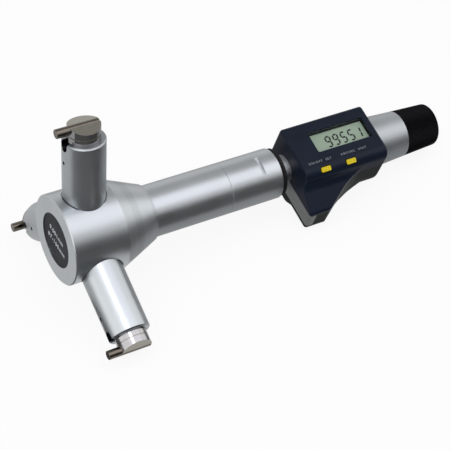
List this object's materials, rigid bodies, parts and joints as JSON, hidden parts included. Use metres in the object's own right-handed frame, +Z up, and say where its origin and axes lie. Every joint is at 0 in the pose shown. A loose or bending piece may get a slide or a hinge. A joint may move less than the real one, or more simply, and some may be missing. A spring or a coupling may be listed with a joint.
{
  "type": "inside micrometer",
  "caption": "Inside micrometer for bores: drum head with radial sliding anvils, extension tube, digital display unit, tapered thimble and knurled ratchet knob.",
  "frame": {"origin": "where the axes of the arms meet the measuring axis, in the middle of the drum head", "axes": "+Z up as the instrument lies on a bench; the measuring axis runs towards the knob along +X, tipped down by about 7 degrees; the first arm stands up"},
  "size_m": [0.1736, 0.0898, 0.0803],
  "materials": {
    "satin_aluminium": "satin, fine turned",
    "ground_steel": "ground",
    "hard_pin": "ground and lapped",
    "tool_steel": "ground",
    "spring_steel": "drawn wire",
    "bearing_brass": "turned",
    "dark_screws": "blackened",
    "head_cap": "turned",
    "badge": "matte dark grey",
    "black_rubber": "matte",
    "frame_metal": "die cast, satin",
    "front_plastic": "fine grained, dark blue-grey",
    "rear_plastic": "fine grained, near black",
    "window_pane": "clear",
    "display_grey": "grey-green liquid crystal",
    "board_green": "lacquered",
    "button_yellow": "moulded",
    "cell_steel": "plated",
    "knob_black": "knurled"
  },
  "bodies": {
    "body": {"head_body": "satin_aluminium", "front_cap": "head_cap", "front_badge": "badge", "arm_sleeve_1": "satin_aluminium", "arm_sleeve_2": "satin_aluminium", "arm_sleeve_3": "satin_aluminium", "guide_pin_1": "tool_steel", "guide_pin_2": "tool_steel", "guide_pin_3": "tool_steel", "return_spring_1": "spring_steel", "return_spring_2": "spring_steel", "return_spring_3": "spring_steel", "extension_tube": "satin_aluminium", "rod_bush": "bearing_brass", "rod_spring": "spring_steel", "adapter_sleeve": "satin_aluminium", "seal_ring": "black_rubber", "unit_frame": "frame_metal", "front_cover": "front_plastic", "rear_cover": "rear_plastic", "display_window": "window_pane", "display_panel": "display_grey", "circuit_board": "board_green", "key_pad": "black_rubber", "battery": "cell_steel", "battery_contact": "bearing_brass", "battery_cap": "rear_plastic", "cap_seal": "black_rubber", "cover_screws": "dark_screws", "encoder_stator": "board_green", "rotor_bearing": "bearing_brass", "spindle_nut": "bearing_brass", "stem": "satin_aluminium"},
    "feed": {"measuring_cone": "tool_steel", "push_rod": "tool_steel", "thrust_ball": "tool_steel"},
    "thimble_group": {"spindle": "tool_steel", "thimble": "satin_aluminium", "clutch_plate": "tool_steel", "ratchet_screw": "dark_screws"},
    "knob_group": {"ratchet_knob": "knob_black", "clutch_crown": "tool_steel", "clutch_spring": "spring_steel"},
    "rotor": {"encoder_rotor": "board_green"},
    "left_button": {"button_left": "button_yellow"},
    "right_button": {"button_right": "button_yellow"},
    "arm_1": {"anvil_1": "ground_steel", "anvil_shoe_1": "tool_steel", "contact_pin_1": "hard_pin"},
    "arm_2": {"anvil_2": "ground_steel", "anvil_shoe_2": "tool_steel", "contact_pin_2": "hard_pin"},
    "arm_3": {"anvil_3": "ground_steel", "anvil_shoe_3": "tool_steel", "contact_pin_3": "hard_pin"}
  },
  "joints": [
    {"name": "feed_slide", "type": "slide", "parent": "body", "child": "feed", "axis": [-0.9926, 0, 0.1215], "range_m": [-0.01255, 0.00045]},
    {"name": "thimble_turn", "type": "hinge", "parent": "feed", "child": "thimble_group", "pos_m": [0, 0, 0], "axis": [-0.9926, 0, 0.1215], "range_deg": [-9036.73, 323.29]},
    {"name": "ratchet_turn", "type": "hinge", "parent": "thimble_group", "child": "knob_group", "pos_m": [0, 0, 0], "axis": [-0.9926, 0, 0.1215], "continuous": true},
    {"name": "rotor_turn", "type": "hinge", "parent": "body", "child": "rotor", "pos_m": [0, 0, 0], "axis": [-0.9926, 0, 0.1215], "range_deg": [-9036.74, 323.3]},
    {"name": "arm_1_slide", "type": "slide", "parent": "body", "child": "arm_1", "axis": [0.1215, 0, 0.9926], "range_m": [-0.00628, 0.00022]},
    {"name": "arm_2_slide", "type": "slide", "parent": "body", "child": "arm_2", "axis": [-0.0607, -0.866, -0.4963], "range_m": [-0.00628, 0.00022]},
    {"name": "arm_3_slide", "type": "slide", "parent": "body", "child": "arm_3", "axis": [-0.0607, 0.866, -0.4963], "range_m": [-0.00628, 0.00022]},
    {"name": "left_button_press", "type": "slide", "parent": "body", "child": "left_button", "axis": [-0.0714, 0.809, -0.5834], "range_m": [0, 0.0005], "stiffness_N_per_m": 600, "springref_m": -0.0003},
    {"name": "right_button_press", "type": "slide", "parent": "body", "child": "right_button", "axis": [-0.0714, 0.809, -0.5834], "range_m": [0, 0.0005], "stiffness_N_per_m": 600, "springref_m": -0.0003}
  ],
  "couplings": [
    {"joint": "thimble_turn", "follows": "feed_slide", "rad_per_m": 12566},
    {"joint": "rotor_turn", "follows": "feed_slide", "rad_per_m": 12566},
    {"joint": "arm_1_slide", "follows": "feed_slide", "ratio": 0.5},
    {"joint": "arm_2_slide", "follows": "feed_slide", "ratio": 0.5},
    {"joint": "arm_3_slide", "follows": "feed_slide", "ratio": 0.5}
  ]
}
